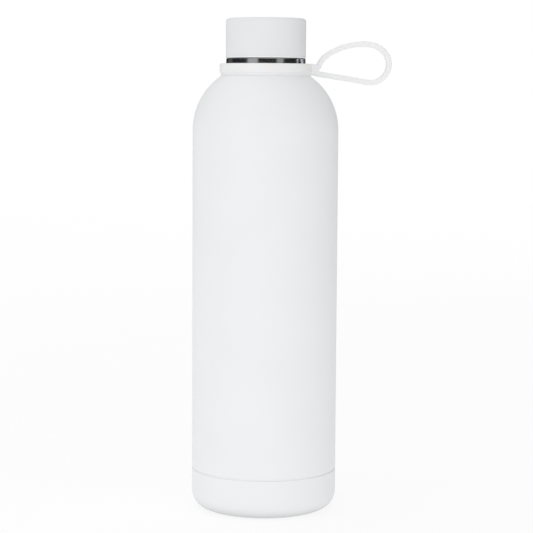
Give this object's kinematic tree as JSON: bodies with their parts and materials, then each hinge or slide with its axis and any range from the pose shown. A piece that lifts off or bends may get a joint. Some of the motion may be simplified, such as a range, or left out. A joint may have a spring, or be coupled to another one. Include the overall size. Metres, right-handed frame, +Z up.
{
  "type": "insulated water bottle",
  "caption": "Slim double-wall insulated steel bottle, matte white, with round shoulders, a screw lid and a silicone neck collar with a carrying loop.",
  "frame": {"origin": "centre of the ring the bottle stands on, at floor level", "axes": "+Z up along the bottle's axis; +X towards the carrying loop; the front, with the loop at its right, faces -Y"},
  "size_m": [0.1142, 0.084, 0.284],
  "materials": {
    "coat": "matte powder coat",
    "brushed": "brushed",
    "polished": "polished stainless steel",
    "solder": "fused solder glass",
    "copper": "bright copper foil",
    "getter": "sintered powder",
    "plastic": "fine satin polypropylene",
    "foam": "rigid insulation foam",
    "gasket": "clear-white silicone",
    "silicone": "satin silicone"
  },
  "bodies": {
    "flask": {"outer_shell": "coat", "base_cup": "coat", "base_plate": "brushed", "seal_bead": "solder", "inner_flask": "polished", "inner_base": "polished", "copper_foil": "copper", "getter_clip": "polished", "getter_pellet": "getter"},
    "lid_seal": {"lid_gasket": "gasket"},
    "lid": {"lid_shell": "coat", "lid_core": "plastic", "closing_disc": "plastic", "lid_foam": "foam"},
    "collar": {"strap_collar": "silicone"},
    "loop": {"strap_loop": "silicone"}
  },
  "joints": [
    {"name": "lid_rise", "type": "slide", "parent": "flask", "child": "lid_seal", "axis": [0, 0, 1], "range_m": [0, 0.048]},
    {"name": "lid_turn", "type": "hinge", "parent": "lid_seal", "child": "lid", "pos_m": [0, 0, 0.2611], "axis": [0, 0, 1], "range_deg": [0, 2162]},
    {"name": "collar_swivel", "type": "hinge", "parent": "flask", "child": "collar", "pos_m": [0, 0, 0.2549], "axis": [0, 0, 1], "continuous": true},
    {"name": "loop_flex", "type": "hinge", "parent": "collar", "child": "loop", "pos_m": [0.0283, 0, 0.25489], "axis": [0, -1, 0], "range_deg": [-25, 40], "stiffness_Nm_per_rad": 0.04, "springref_deg": 0.63}
  ],
  "couplings": [
    {"joint": "lid_turn", "follows": "lid_rise", "rad_per_m": 785.4}
  ]
}
